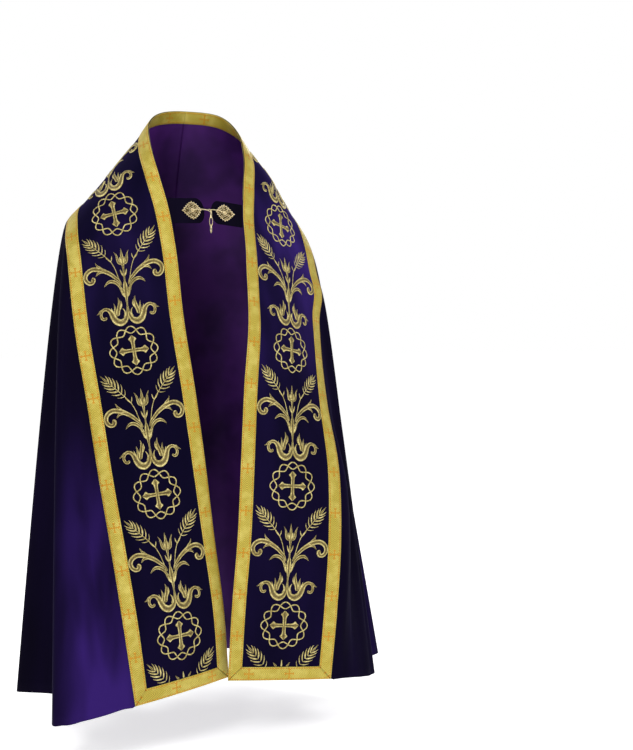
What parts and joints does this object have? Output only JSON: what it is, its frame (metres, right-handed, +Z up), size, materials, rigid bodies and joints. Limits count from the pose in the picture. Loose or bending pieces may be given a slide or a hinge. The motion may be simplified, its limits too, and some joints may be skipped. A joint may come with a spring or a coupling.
{
  "type": "cope vestment",
  "caption": "Semicircular purple velvet cope in its worn hollow shape, with embroidered front bands, gold galloon, back hood with fringe and a filigree clasp.",
  "frame": {"origin": "on the neck axis, level with the neck opening", "axes": "+Z up, -Y to the wearer's front, -X to the wearer's right"},
  "size_m": [0.992, 0.653, 1.5237],
  "materials": {
    "velvet": "deep purple cotton velvet, soft pile, dull in the shade and lighter at the folds",
    "braid": "woven gold galloon with orange cross marks, satin sheen",
    "facing": "gold braid facing inside the neck edge",
    "fringe": "old-gold twisted bullion fringe",
    "clasp": "pale gold plated cast filigree"
  },
  "bodies": {
    "garment": {"body_right": "velvet", "body_left": "velvet", "orphrey_right": "velvet", "orphrey_left": "velvet", "galloon_inner_right": "braid", "galloon_inner_left": "braid", "galloon_outer_right": "braid", "galloon_outer_left": "braid", "galloon_hem_right": "braid", "galloon_hem_left": "braid", "galloon_centre_back": "braid", "neck_facing_right": "facing", "neck_facing_left": "facing", "hood": "velvet", "hood_galloon_top": "braid", "hood_galloon_outer": "braid", "hood_galloon_inner": "braid", "hood_fringe": "fringe", "morse_tab_right": "velvet", "morse_tab_left": "velvet", "clasp_plate_right": "clasp", "clasp_plate_left": "clasp", "clasp_link": "clasp"},
    "chain": {"chain_loop": "clasp", "chain_ring": "clasp", "chain_drop": "clasp"}
  },
  "joints": [
    {"name": "chain_swing", "type": "hinge", "parent": "garment", "child": "chain", "pos_m": [-0.01174, -0.15366, -0.22413], "axis": [-0.9965, -0.084, 0], "range_deg": [0, 85]}
  ]
}
